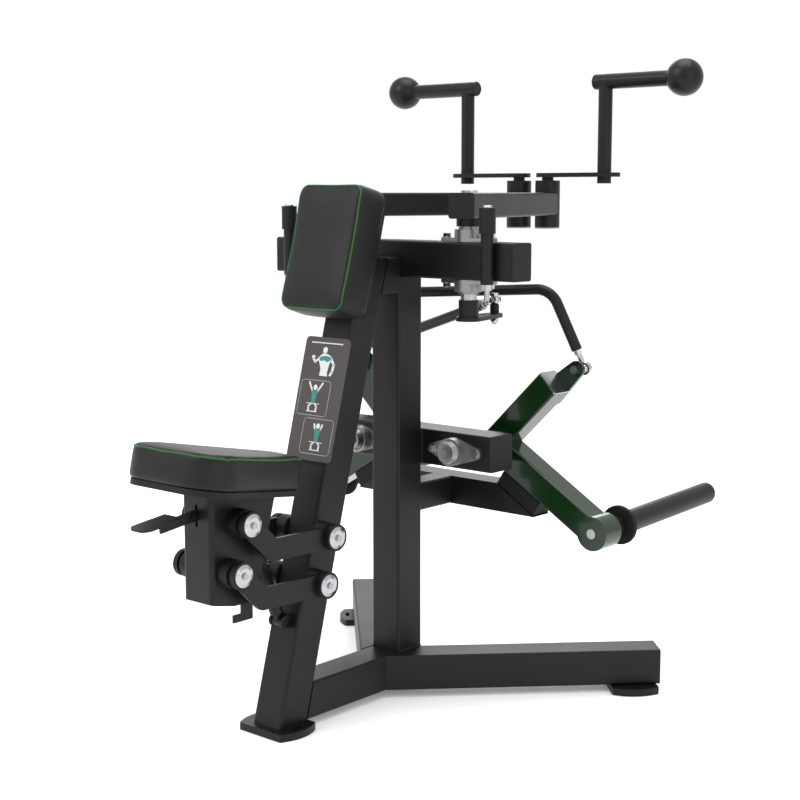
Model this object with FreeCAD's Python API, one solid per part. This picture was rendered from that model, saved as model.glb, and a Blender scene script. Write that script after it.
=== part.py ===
import FreeCAD, Part
import math
import os

# Chest-supported rear press machine with plate-loaded arms.
# Millimetres, +Z up, +Y is the way the user faces, +X is the user's right.
# The origin is on the floor in the middle of the machine's plan.

V = FreeCAD.Vector
X_AXIS = V(1, 0, 0)
Y_AXIS = V(0, 1, 0)
Z_AXIS = V(0, 0, 1)

# overall reach, measured from the column's axis
front_reach = 747.0        # to the tip of the seat lever
rear_reach = 661.0         # to the ends of the weight horns
column_y = (front_reach - rear_reach) / 2.0

# frame tubes
tube = 80.0                # main square tube
tube_corner = 6.0
tube_wall = 3.0
cap_thick = 3.0
foot_height = 16.0
column_top = 941.0
column_half = tube / 2.0
beam_top = foot_height + tube

# rear legs and feet
leg_angle = 44.5           # from straight back, each side
leg_root = -66.0           # where the legs' centre lines meet, from the column's axis
leg_length = 641.0
foot_long = 105.0
foot_wide = 120.0
foot_bulge = 15.0
foot_slot = 10.0
rear_foot_set = 113.0      # foot plate's start short of the leg's end
front_foot_set = 14.0

# inclined front post
post_lean = 15.0
post_foot = -420.0         # front face at floor level, from the column's axis
post_rise = 44.0           # post's top above the column
brace_height = 80.0

# upper crossbeam and the vertical shafts in it
crossbeam_end = 141.0      # crossbeam's end beyond a shaft
crossbeam_height = 80.0
crossbeam_depth = 64.0
crossbeam_shift = -1.0
shaft_x = 204.0
shaft_radius = 17.5
shaft_stand = 5.0          # shaft's end above the press arm
running_gap = 0.05         # radial clearance of every shaft in its bore
bearing_radius = 31.0
bearing_height = 31.0
upper_bearing_neck = 5.0
flange_thick = 8.0
flange_bolt = 60.0         # from the bearing's axis to each bolt
flange_end = 13.0
bolt_radius = 5.0

# press arms
arm_angle = 17.6           # inward, from straight back
arm_reach = 532.0          # shaft axis to handle axis
arm_tail = 46.5
arm_width = 58.0
arm_height = 54.0
arm_lift = 16.5            # arm's underside above the shaft's collar
arm_wall = 3.0
arm_collar = 27.0
collar_gap = 1.0
hub_radius = 30.0          # upright cylinder that carries the handle
hub_drop = 33.0
hub_stand = 29.1
spindle_radius = 14.0

# cranks under the shafts
crank_radius = 119.9
crank_angle = 10.1         # the crank pin's direction, inward from straight back
crank_hub_height = 45.5
crank_thick = 9.0
crank_hub_radius = 21.5
crank_gap = 12.5           # crank's hub below the lower bearing
crank_foot = 27.0
crank_tip = 18.0
pin_radius = 5.0
sleeve_radius = 10.0
sleeve_rise = 19.0

# swivelling handles
plate_thick = 10.0
plate_width = 56.0
plate_gap = 7.9
plate_end = 39.7           # plate's end beyond the upright
upright_x = 206.0
upright_radius = 16.5
upright_foot = 15.5        # upright's end below the plate
upright_rise = 210.5       # grip's axis above the plate
grip_radius = 18.0
grip_inner = 176.5
grip_core = 14.0
ball_x = 416.0
ball_radius = 42.0

# stop posts of the press arms
stop_spread = 85.0         # from a shaft out to its stop post
stop_radius = 13.5
stop_drop = 6.0
stop_rise = 19.0
stop_sleeve_radius = 17.5
stop_sleeve_length = 53.0
stop_bolt_radius = 6.0

# mid crossbeam, weight arms and their horns
mid_bottom = 518.0
mid_half = 234.0
weight_x = 140.3
weight_z = mid_bottom + tube / 2.0
weight_shaft_radius = 15.0
weight_tube = 60.0
weight_wall = 3.0
weight_front = 161.5       # the weight arms' front faces, from the column's axis
front_bearing_end = -8.5
rear_bearing_length = 40.0
upper_leg_angle = 44.35
upper_leg_length = 218.0
boss_x = 418.8
boss_z = 391.0
boss_radius = 38.0
tab_thick = 8.0
tab_reach = 261.0
tab_drop = 4.0             # the tab's bolt, below the upper leg's centre line
tab_end = 19.0
horn_radius = 25.0
horn_tilt = 2.3
horn_edge = 12.0
horn_wall = 5.0
horn_spigot = 24.0         # thinner root of the horn, inside the collar and the arm
collar_stand = 44.5        # horn's collar behind the weight arm
collar_thick = 12.0
collar_radius = 44.0

# link rods between the cranks and the weight arms
joint_gap = 0.2            # between a crank's sleeve and its rod end
joint_stand = 35.5         # rod ends behind the weight arms
ring_radius = 14.5
ring_width = 10.0
ball_insert = 11.0
insert_neck = 6.5
insert_half = 8.8
open_gap = 2.2             # between a weight arm's spacer and the rod end behind it
spacer_radius = 7.0
shank_radius = 6.0
shank_length = 44.0
lock_nut = 9.0
rod_radius = 12.0
bend_x = 262.0
bend_depth = 220.0
bend_rise = 23.0           # long run of a link rod above its rod ends
bend_radius = 50.0

# back beam, stop crossbeam and bumpers of the weight arms
stop_beam_bottom = 406.0
stop_beam_top = 471.0
stop_beam_start = 160.0
back_beam_half = 30.0
bumper_thick = 36.0
bumper_gap = 0.3
bumper_inset = 4.0

# chest pad and placard, measured along the post's front face
pad_width = 190.0
pad_start = 884.0
pad_end = 1164.0
pad_thick = 79.5
pad_corner = 28.0
board_thick = 12.0
board_inset = 12.0
soft_gap = 0.5             # round every cushion
placard_width = 128.0
placard_start = 580.0
placard_end = 844.0
placard_thick = 3.0
placard_stand = 14.0

# seat
seat_tilt = 9.9            # down toward the machine
seat_rear = -681.5
seat_front = -333.0
seat_rear_half = 158.0
seat_front_half = 48.0
seat_rear_corner = 70.0
seat_front_corner = 40.0
seat_level = 644.3         # top of the cushion at its rear edge
seat_thick = 70.0
seat_board_thick = 12.0
seat_board_inset = 6.0

# seat housing and its parallel links
housing_front = -596.0
housing_half = 43.0
housing_wall = 4.0
housing_corner = 10.0
link_length = 248.0
link_rise = 15.6           # the links' slope at rest
upper_pivot_y = -290.0
upper_pivot_z = 411.5
lower_pivot_y = -315.5
lower_pivot_z = 314.5
upper_elbow_y = -463.0
upper_elbow_z = 415.0
lower_elbow_y = -490.0
lower_elbow_z = 320.0
link_inner = 70.0
link_thick = 8.0
link_width = 46.0
side_gap = 0.3             # between a link and the boss and disc beside it
link_pin = 10.0
link_boss = 29.0
disc_radius = 28.0
disc_thick = 12.0
disc_dome = 23.0

# gas spring
spring_foot_y = -374.0
spring_foot_z = 235.0
spring_top_y = -480.0
spring_top_z = 501.6
spring_barrel = 14.0
spring_barrel_end = 178.0
spring_rod = 5.0
spring_rod_length = 165.0
spring_eye = 11.0
spring_eye_half = 12.0
spring_neck = 8.0
spring_neck_end = 22.0
spring_pin = 5.0
spring_top_slack = 4.0

# seat lever
lever_pivot_y = -571.0
lever_pivot_z = 511.0
lever_thick = 5.0
slot_width = 7.0
slot_drop = 37.0
slot_rise = 7.0
lever_height = 21.0
lever_rise = 7.0           # the lever's slope up toward its pivot
paddle_width = 56.0
paddle_length = 95.0
paddle_thick = 4.0
paddle_corner = 20.0
lever_screw = 4.5
screw_first = 112.0        # from the paddle's tip
screw_step = 25.0

# heights and places that follow from the sizes above
arm_bottom = column_top + crossbeam_height + bearing_height + collar_gap + arm_lift
shaft_top = arm_bottom + arm_height + shaft_stand
hub_bottom = arm_bottom - hub_drop
hub_top = arm_bottom + arm_height + hub_stand
plate_bottom = hub_top + plate_gap
upright_bottom = plate_bottom - upright_foot
grip_height = plate_bottom + plate_thick + upright_rise
crank_hub_top = column_top - bearing_height - crank_gap
crank_bottom = crank_hub_top - crank_hub_height
sleeve_top = crank_bottom + crank_thick + sleeve_rise
joint_height = sleeve_top + insert_half + joint_gap
bend_height = joint_height + bend_rise
stop_bottom = column_top - stop_drop
stop_top = column_top + crossbeam_height + stop_rise
stop_sleeve_top = stop_top + stop_sleeve_length
post_top = column_top + post_rise
rear_foot_start = leg_length - rear_foot_set
front_foot_start = post_foot - front_foot_set
stop_x = shaft_x + stop_spread
crossbeam_half = shaft_x + crossbeam_end
plate_tip = upright_x + plate_end
joint_depth = weight_front + weight_tube + joint_stand
collar_start = weight_front + weight_tube + collar_stand
slot_bottom = lever_pivot_z - slot_drop
slot_top = lever_pivot_z + slot_rise


def at(x, y, z):
    """A point given from the column's axis."""
    return V(x, column_y + y, z)


def placed(shape, origin, x_dir, z_dir):
    """Moves a shape so that its own X and Z axes lie along two directions."""
    x_dir = V(x_dir).normalize()
    y_dir = V(z_dir).cross(x_dir).normalize()
    z_dir = x_dir.cross(y_dir)
    matrix = FreeCAD.Matrix(
        x_dir.x, y_dir.x, z_dir.x, origin.x,
        x_dir.y, y_dir.y, z_dir.y, origin.y,
        x_dir.z, y_dir.z, z_dir.z, origin.z,
        0, 0, 0, 1)
    moved = shape.copy()
    moved.Placement = FreeCAD.Placement(matrix).multiply(moved.Placement)
    return moved


def fillet_along(solid, direction, radius):
    """Rounds every straight edge that runs along a direction."""
    chosen = []
    for edge in solid.Edges:
        ends = edge.Vertexes
        if len(ends) != 2:
            continue
        run = ends[1].Point - ends[0].Point
        if run.Length > 1e-6 and abs(abs(run.normalize().dot(direction)) - 1) < 1e-6:
            chosen.append(edge)
    return solid.makeFillet(radius, chosen)


def block(x0, x1, y0, y1, z0, z1):
    return Part.makeBox(x1 - x0, y1 - y0, z1 - z0, V(x0, y0, z0))


def bar(start, end, up, width, height, corner, wall=0.0):
    """A rounded rectangular bar or tube between two points."""
    run = end - start
    length = run.Length
    solid = block(0, length, -width / 2, width / 2, -height / 2, height / 2)
    solid = fillet_along(solid, X_AXIS, corner)
    if wall > 0:
        inner = block(-1, length + 1, wall - width / 2, width / 2 - wall, wall - height / 2, height / 2 - wall)
        solid = solid.cut(fillet_along(inner, X_AXIS, max(corner - wall, 1.0)))
    return placed(solid, start, run, up)


def rod(start, end, radius):
    run = end - start
    return Part.makeCylinder(radius, run.Length, start, run)


def cone(start, end, start_radius, end_radius):
    run = end - start
    return Part.makeCone(start_radius, end_radius, run.Length, start, run)


def hexagon(start, end, radius):
    """A hexagonal head or nut, given by its corner radius."""
    run = end - start
    side = run.cross(Z_AXIS)
    if side.Length < 1e-6:
        side = X_AXIS
    points = [V(radius * math.cos(math.radians(60 * k)), radius * math.sin(math.radians(60 * k)), 0)
              for k in range(7)]
    prism = Part.Face(Part.makePolygon(points)).extrude(V(0, 0, run.Length))
    return placed(prism, start, side, run)


def joined(shapes):
    whole = shapes[0]
    for shape in shapes[1:]:
        whole = whole.fuse(shape)
    return whole.removeSplitter()


def group(shapes):
    return Part.makeCompound(shapes)


def mirrored(shape):
    return shape.mirror(V(0, 0, 0), X_AXIS)


def both(shape):
    return group([shape, mirrored(shape)])


def tapered_plate(reach, big, small, thick):
    """A plate round two circles, the small one `reach` along X, from z = 0 up."""
    lean = math.acos((big - small) / reach)
    c = math.cos(lean)
    s = math.sin(lean)
    corners = [V(big * c, big * s, 0), V(reach + small * c, small * s, 0),
               V(reach + small * c, -small * s, 0), V(big * c, -big * s, 0)]
    middle = Part.Face(Part.makePolygon(corners + corners[:1])).extrude(V(0, 0, thick))
    root = Part.makeCylinder(big, thick)
    tip = Part.makeCylinder(small, thick, V(reach, 0, 0))
    return joined([middle, root, tip])


def end_cap(centre, outward, width, height, up):
    """A closing plate on a tube's end, its outer face at the given centre."""
    outward = V(outward).normalize()
    return bar(centre - outward * cap_thick, centre, up, width, height, tube_corner)


def save(name, shape):
    shape.exportStep("parts/" + name + ".step")


def save_pair(name, right_shape):
    save(name + "_right", right_shape)
    save(name + "_left", mirrored(right_shape))


# directions that several pieces share
leg_dir = V(math.sin(math.radians(leg_angle)), math.cos(math.radians(leg_angle)), 0)
post_up = V(0, math.sin(math.radians(post_lean)), math.cos(math.radians(post_lean)))
post_out = V(0, -math.cos(math.radians(post_lean)), math.sin(math.radians(post_lean)))
arm_dir = V(-math.sin(math.radians(arm_angle)), math.cos(math.radians(arm_angle)), 0)
crank_dir = V(-math.sin(math.radians(crank_angle)), math.cos(math.radians(crank_angle)), 0)
upper_leg_dir = V(math.cos(math.radians(upper_leg_angle)), 0, math.sin(math.radians(upper_leg_angle)))
lower_leg_dir = V(boss_x - weight_x, 0, boss_z - weight_z).normalize()
horn_dir = V(0, math.cos(math.radians(horn_tilt)), math.sin(math.radians(horn_tilt)))
seat_up = V(0, math.sin(math.radians(seat_tilt)), math.cos(math.radians(seat_tilt)))

# places that several pieces share
shaft_at = at(shaft_x, 0, 0)
hub_at = shaft_at + arm_dir * arm_reach
crank_pin_at = shaft_at + crank_dir * crank_radius
stop_y = crossbeam_shift - crossbeam_depth / 2 - stop_radius
weight_at = at(weight_x, 0, weight_z)
tab_at = weight_at + upper_leg_dir * tab_reach + Y_AXIS.cross(upper_leg_dir) * tab_drop
tab_root = weight_at + upper_leg_dir * (upper_leg_length - 43)
weight_back = weight_front + weight_tube
spacer_end = joint_depth - insert_half - open_gap
crank_top = crank_bottom + crank_thick


def on_post(x, along, out):
    """A point given along the post's front face and out from it."""
    return at(x, post_foot, 0) + post_up * along + post_out * out


def ahead_of_post_back():
    """All the room in front of the post's back face."""
    room = block(-2 * tube, 2 * tube, -200, 1400, 0, 600)
    return placed(room, on_post(0, 0, -tube), X_AXIS, post_out)


def crossbeam_centre(x):
    return at(x, crossbeam_shift, column_top + crossbeam_height / 2)


def build_frame():
    whole_post = bar(on_post(0, -60, -tube / 2), on_post(0, 1200, -tube / 2), X_AXIS,
                     tube, tube, tube_corner, tube_wall)
    upright_room = block(-tube, tube, -900, 900, foot_height, post_top)
    save("front_post", whole_post.common(upright_room))

    beam_z = foot_height + tube / 2
    beam_end = column_half - cap_thick
    beam = bar(at(0, post_foot + tube / 2, beam_z), at(0, beam_end, beam_z), Z_AXIS,
               tube, tube, tube_corner, tube_wall)
    save("base_beam", beam.cut(ahead_of_post_back()))

    column = bar(at(0, 0, beam_top), at(0, 0, column_top), Y_AXIS, tube, tube, tube_corner, tube_wall)
    save("column", column)

    leg_end = leg_length - cap_thick
    leg = bar(at(0, leg_root, beam_z), at(0, leg_root, beam_z) + leg_dir * leg_end, Z_AXIS,
              tube, tube, tube_corner, tube_wall)
    beam_room = block(-column_half - 400, column_half, column_y - 900, column_y + 900, 0, beam_top + 1)
    save_pair("rear_leg", leg.cut(beam_room))

    brace_z = post_top - brace_height / 2
    brace = bar(at(0, -column_half * 3, brace_z), at(0, crossbeam_shift, brace_z), Z_AXIS,
                tube, brace_height, tube_corner, tube_wall)
    column_room = block(-tube, tube, column_y - column_half, column_y + 90, beam_top, column_top)
    crossbeam_room = block(-tube, tube, column_y + crossbeam_shift - crossbeam_depth / 2, column_y + 90,
                           column_top, post_top + 1)
    save("post_brace", brace.cut(ahead_of_post_back()).cut(column_room).cut(crossbeam_room))

    upper = bar(crossbeam_centre(cap_thick - crossbeam_half), crossbeam_centre(crossbeam_half - cap_thick), Z_AXIS,
                crossbeam_depth, crossbeam_height, tube_corner, tube_wall)
    for side in (-1, 1):
        axis = at(side * shaft_x, 0, column_top - 1)
        upper = upper.cut(rod(axis, axis + Z_AXIS * (crossbeam_height + 2), shaft_radius + 1.5))
        for bolt in (-1, 1):
            start = axis + X_AXIS * (bolt * flange_bolt)
            upper = upper.cut(rod(start, start + Z_AXIS * (crossbeam_height + 2), bolt_radius + running_gap))
    save("upper_crossbeam", upper)

    mid_y = column_half + tube / 2
    mid = bar(at(cap_thick - mid_half, mid_y, weight_z), at(mid_half - cap_thick, mid_y, weight_z), Z_AXIS,
              tube, tube, tube_corner, tube_wall)
    for side in (-1, 1):
        axis = at(side * weight_x, column_half - 1, weight_z)
        mid = mid.cut(rod(axis, axis + Y_AXIS * (tube + 2), weight_shaft_radius + 1.5))
        for bolt in (-1, 1):
            start = axis + X_AXIS * (bolt * flange_bolt)
            mid = mid.cut(rod(start, start + Y_AXIS * (tube + 2), bolt_radius + running_gap))
    save("mid_crossbeam", mid)

    back_z = (stop_beam_bottom + stop_beam_top) / 2
    back = bar(at(0, column_half, back_z), at(0, stop_beam_start, back_z), Z_AXIS,
               2 * back_beam_half, stop_beam_top - stop_beam_bottom, tube_corner, tube_wall)
    save("back_beam", back)


def slant_point(along, below, y):
    """A point along a weight arm's lower leg, and below its centre line."""
    down = V(lower_leg_dir.z, 0, -lower_leg_dir.x)
    return at(weight_x, y, weight_z) + lower_leg_dir * along + down * below


def along_at_level(below, level):
    return (slant_point(0, below, 0).z - level) / -lower_leg_dir.z


def build_stops():
    slant = weight_tube / 2 + bumper_gap + bumper_thick
    top_run = along_at_level(slant, stop_beam_top)
    bottom_run = along_at_level(slant, stop_beam_bottom)
    top_half = slant_point(top_run, slant, 0).x
    bottom_half = slant_point(bottom_run, slant, 0).x
    depth = weight_tube
    y0 = column_y + stop_beam_start

    outline = [V(-bottom_half, y0, stop_beam_bottom), V(bottom_half, y0, stop_beam_bottom),
               V(top_half, y0, stop_beam_top), V(-top_half, y0, stop_beam_top)]
    beam = Part.Face(Part.makePolygon(outline + outline[:1])).extrude(V(0, depth, 0))
    hollow = block(-mid_half * 2, mid_half * 2, y0 + tube_wall, y0 + depth - tube_wall,
                   stop_beam_bottom + tube_wall, stop_beam_top - tube_wall)
    save("stop_crossbeam", beam.cut(hollow))

    bumper = bar(slant_point(top_run + bumper_inset, slant - bumper_thick / 2, stop_beam_start + depth / 2 + 1),
                 slant_point(bottom_run - bumper_inset, slant - bumper_thick / 2, stop_beam_start + depth / 2 + 1),
                 Z_AXIS, depth - 2, bumper_thick, 3.0)
    save("stop_bumpers", both(bumper))

    post_axis = at(stop_x, stop_y, 0)
    post = rod(post_axis + Z_AXIS * stop_bottom, post_axis + Z_AXIS * stop_top, stop_radius)
    sleeve = rod(post_axis + Z_AXIS * stop_top, post_axis + Z_AXIS * stop_sleeve_top, stop_sleeve_radius)
    bore = rod(post_axis + Z_AXIS * 800, post_axis + Z_AXIS * 1200, stop_bolt_radius + running_gap)
    save("stop_posts", both(post.cut(bore)))
    save("stop_sleeves", both(sleeve.cut(bore)))


def build_caps():
    caps = []
    beam_z = foot_height + tube / 2
    caps.append(end_cap(at(0, column_half, beam_z), Y_AXIS, tube, tube, Z_AXIS))
    leg_tip = at(0, leg_root, beam_z) + leg_dir * leg_length
    caps.append(end_cap(leg_tip, leg_dir, tube, tube, Z_AXIS))
    caps.append(mirrored(caps[-1]))
    caps.append(end_cap(crossbeam_centre(crossbeam_half), X_AXIS, crossbeam_depth, crossbeam_height, Z_AXIS))
    caps.append(mirrored(caps[-1]))
    caps.append(end_cap(at(mid_half, column_half + tube / 2, weight_z), X_AXIS, tube, tube, Z_AXIS))
    caps.append(mirrored(caps[-1]))
    save("tube_end_caps", group(caps))


def foot_plate(start, direction, length):
    """A foot under a tube's end: straight across, with two bulging ends."""
    across = Z_AXIS.cross(direction)
    half = foot_wide / 2
    a = start + across * half
    b = start + direction * length + across * half
    c = start + direction * length - across * half
    d = start - across * half
    middle = start + direction * (length / 2)
    bulge = across * (half + foot_bulge)
    edges = [Part.Arc(a, middle + bulge, b).toShape(), Part.LineSegment(b, c).toShape(),
             Part.Arc(c, middle - bulge, d).toShape(), Part.LineSegment(d, a).toShape()]
    plate = Part.Face(Part.Wire(edges)).extrude(Z_AXIS * foot_height)
    for side in (-1, 1):
        slot_at = middle + across * (side * (half - foot_slot / 2)) + Z_AXIS * (foot_height / 2)
        slot = bar(slot_at - direction * foot_slot, slot_at + direction * foot_slot, Z_AXIS,
                   foot_slot, foot_height + 2, 0.01)
        slot = slot.fuse(rod(slot_at - direction * foot_slot - Z_AXIS * 20, slot_at - direction * foot_slot
                             + Z_AXIS * 20, foot_slot / 2))
        slot = slot.fuse(rod(slot_at + direction * foot_slot - Z_AXIS * 20, slot_at + direction * foot_slot
                             + Z_AXIS * 20, foot_slot / 2))
        plate = plate.cut(slot)
    return plate


def build_feet():
    save("front_foot", foot_plate(at(0, front_foot_start, 0), Y_AXIS, foot_long))
    rear = foot_plate(at(0, leg_root, 0) + leg_dir * rear_foot_start, leg_dir, foot_long)
    save("rear_feet", both(rear))


def flange(centre, outward, across, thick):
    """A two-bolt flange plate with lobes along `across`."""
    half = tapered_plate(flange_bolt, bearing_radius, flange_end, thick)
    plate = joined([placed(half, centre, across, outward), placed(half, centre, across * -1, outward)])
    for side in (-1, 1):
        start = centre + across * (side * flange_bolt)
        plate = plate.cut(rod(start - outward, start + outward * (thick + 1), bolt_radius + running_gap))
    return plate


def through_bolt(start, end, head):
    """A bolt with a hexagonal head at its start and a nut at its end, washers under both."""
    along = (end - start).normalize()
    washer = 2.0
    parts = [rod(start - along * (washer + head), end + along * (washer + head + 2), bolt_radius),
             rod(start - along * washer, start, 2 * bolt_radius),
             rod(end, end + along * washer, 2 * bolt_radius),
             hexagon(start - along * (washer + head), start - along * washer, 9.0),
             hexagon(end + along * washer, end + along * (washer + head), 9.0)]
    return joined(parts)


def build_bearings():
    housings = []
    for level, outward in ((column_top + crossbeam_height, Z_AXIS), (column_top, Z_AXIS * -1)):
        foot = shaft_at + Z_AXIS * level
        body = bearing_height - upper_bearing_neck
        parts = [flange(foot, outward, X_AXIS, flange_thick),
                 rod(foot, foot + outward * body, bearing_radius),
                 rod(foot, foot + outward * bearing_height, bearing_radius * 0.72)]
        housing = joined(parts)
        housings.append(housing.cut(rod(foot - outward, foot + outward * 60, shaft_radius + running_gap)))
    save("shaft_bearings", group(housings + [mirrored(housing) for housing in housings]))

    front = weight_at + Y_AXIS * column_half
    cap_end = column_half - front_bearing_end
    step = cap_end * 0.55
    outward = Y_AXIS * -1
    front_parts = [flange(front, outward, X_AXIS, flange_thick),
                   rod(front, front + outward * step, bearing_radius),
                   cone(front + outward * step, front + outward * (cap_end - 8), bearing_radius - 4, 22.0),
                   rod(front + outward * (cap_end - 8), front + outward * cap_end, 12.0)]
    front_housing = joined(front_parts)
    front_housing = front_housing.cut(rod(front - outward, front + outward * (cap_end - 12),
                                          weight_shaft_radius + running_gap))
    rear = weight_at + Y_AXIS * (column_half + tube)
    rear_housing = joined([flange(rear, Y_AXIS, X_AXIS, flange_thick),
                           rod(rear, rear + Y_AXIS * (rear_bearing_length - 12), bearing_radius),
                           rod(rear, rear + Y_AXIS * rear_bearing_length, 22.0)])
    rear_housing = rear_housing.cut(rod(rear - Y_AXIS, rear + Y_AXIS * 60, weight_shaft_radius + running_gap))
    sides = [front_housing, rear_housing]
    save("pivot_bearings", group(sides + [mirrored(housing) for housing in sides]))

    bolts = []
    for side in (-1, 1):
        top = shaft_at + X_AXIS * (side * flange_bolt) + Z_AXIS * (column_top + crossbeam_height + flange_thick)
        bolts.append(through_bolt(top, top - Z_AXIS * (crossbeam_height + 2 * flange_thick), 7.0))
        near = weight_at + X_AXIS * (side * flange_bolt) + Y_AXIS * (column_half - flange_thick)
        bolts.append(through_bolt(near, near + Y_AXIS * (tube + 2 * flange_thick), 7.0))
    stop_axis = at(stop_x, stop_y, 0)
    dome = rod(stop_axis + Z_AXIS * stop_sleeve_top, stop_axis + Z_AXIS * (stop_sleeve_top + 5), 10.0)
    dome = dome.makeFillet(3.5, [edge for edge in dome.Edges if edge.BoundBox.ZMin > stop_sleeve_top + 4])
    nut = hexagon(stop_axis + Z_AXIS * (stop_bottom - 12), stop_axis + Z_AXIS * stop_bottom, 12.0)
    shank = rod(stop_axis + Z_AXIS * (stop_bottom - 32), stop_axis + Z_AXIS * stop_sleeve_top, stop_bolt_radius)
    bolts.append(joined([shank, dome, nut]))
    save("frame_bolts", group(bolts + [mirrored(bolt) for bolt in bolts]))


def build_press_side():
    shaft = rod(shaft_at + Z_AXIS * crank_bottom, shaft_at + Z_AXIS * shaft_top, shaft_radius)
    save_pair("press_shaft", shaft)

    arm_mid = Z_AXIS * (arm_bottom + arm_height / 2)
    tail = shaft_at - arm_dir * (arm_tail - cap_thick) + arm_mid
    tip = hub_at + arm_mid
    outer = bar(tail, tip, Z_AXIS, arm_width, arm_height, tube_corner, arm_wall)
    collar_bottom = column_top + crossbeam_height + bearing_height + collar_gap
    collar = rod(shaft_at + Z_AXIS * collar_bottom, shaft_at + Z_AXIS * arm_bottom, arm_collar)
    sleeve = rod(shaft_at + Z_AXIS * arm_bottom, shaft_at + Z_AXIS * (arm_bottom + arm_height - 1), arm_collar - 3)
    hub_rise = rod(hub_at + Z_AXIS * (hub_bottom + cap_thick), hub_at + Z_AXIS * hub_top, hub_radius)
    arm = joined([outer.cut(rod(hub_at, hub_at + Z_AXIS * 1500, hub_radius - 2)), collar, sleeve, hub_rise])
    arm = arm.cut(rod(shaft_at, shaft_at + Z_AXIS * 1500, shaft_radius))
    arm = arm.cut(rod(hub_at, hub_at + Z_AXIS * 1500, spindle_radius + running_gap))
    save_pair("press_arm", arm)

    tail_cap = end_cap(tail - arm_dir * cap_thick, arm_dir * -1, arm_width, arm_height, Z_AXIS)
    hub_cap = rod(hub_at + Z_AXIS * hub_bottom, hub_at + Z_AXIS * (hub_bottom + cap_thick), hub_radius)
    save_pair("arm_caps", group([tail_cap, hub_cap]))

    plate = tapered_plate(crank_radius, crank_foot, crank_tip, crank_thick)
    plate = placed(plate, shaft_at + Z_AXIS * crank_bottom, crank_dir, Z_AXIS)
    hub = rod(shaft_at + Z_AXIS * crank_bottom, shaft_at + Z_AXIS * crank_hub_top, crank_hub_radius)
    crank = joined([plate, hub]).cut(rod(shaft_at, shaft_at + Z_AXIS * 1500, shaft_radius))
    crank = crank.cut(rod(crank_pin_at, crank_pin_at + Z_AXIS * 1500, pin_radius))
    save_pair("crank", crank)

    insert_top = joint_height + insert_half + 0.2
    bolt = [rod(crank_pin_at + Z_AXIS * (crank_bottom - 10), crank_pin_at + Z_AXIS * (insert_top + 7), pin_radius),
            hexagon(crank_pin_at + Z_AXIS * (crank_bottom - 9), crank_pin_at + Z_AXIS * crank_bottom, 9.5),
            Part.makeSphere(7.0, crank_pin_at + Z_AXIS * (crank_bottom - 9)),
            rod(crank_pin_at + Z_AXIS * crank_top, crank_pin_at + Z_AXIS * sleeve_top, sleeve_radius),
            hexagon(crank_pin_at + Z_AXIS * insert_top, crank_pin_at + Z_AXIS * (insert_top + 7), 9.5)]
    save_pair("crank_bolt", joined(bolt))


def build_handles():
    inner = hub_at
    outer_x = plate_tip - plate_width / 2
    half = plate_width / 2
    middle = block(inner.x, outer_x, inner.y - half, inner.y + half, plate_bottom, plate_bottom + plate_thick)
    ends = [Part.makeCylinder(half, plate_thick, V(x, inner.y, plate_bottom)) for x in (inner.x, outer_x)]
    spindle = rod(inner + Z_AXIS * (hub_bottom + cap_thick + 2), inner + Z_AXIS * plate_bottom, spindle_radius)
    foot = V(upright_x, inner.y, 0)
    upright = rod(foot + Z_AXIS * upright_bottom, foot + Z_AXIS * grip_height, upright_radius)
    core = rod(V(grip_inner + 4, inner.y, grip_height), V(ball_x, inner.y, grip_height), grip_core)
    save_pair("handle_frame", joined([middle, spindle, upright, core] + ends))

    tube_body = rod(V(grip_inner, inner.y, grip_height), V(ball_x, inner.y, grip_height), grip_radius)
    tube_body = tube_body.makeChamfer(2.0, [edge for edge in tube_body.Edges
                                            if edge.BoundBox.XMax < grip_inner + 1])
    ball = Part.makeSphere(ball_radius, V(ball_x, inner.y, grip_height))
    grip = joined([tube_body, ball])
    grip = grip.cut(rod(V(grip_inner + 4, inner.y, grip_height), V(ball_x, inner.y, grip_height), grip_core))
    grip = grip.cut(rod(foot + Z_AXIS * upright_bottom, foot + Z_AXIS * grip_height, upright_radius))
    save_pair("handle_grip", grip)


def leg_bar(length, direction, inset, extra):
    """A weight arm's leg as a bar from the pivot, made smaller all round by `inset`."""
    start = weight_at + Y_AXIS * (weight_front + weight_tube / 2)
    size = weight_tube - 2 * inset
    return bar(start, start + direction * (length + extra), Y_AXIS, size, size, 5.0 - inset)


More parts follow.
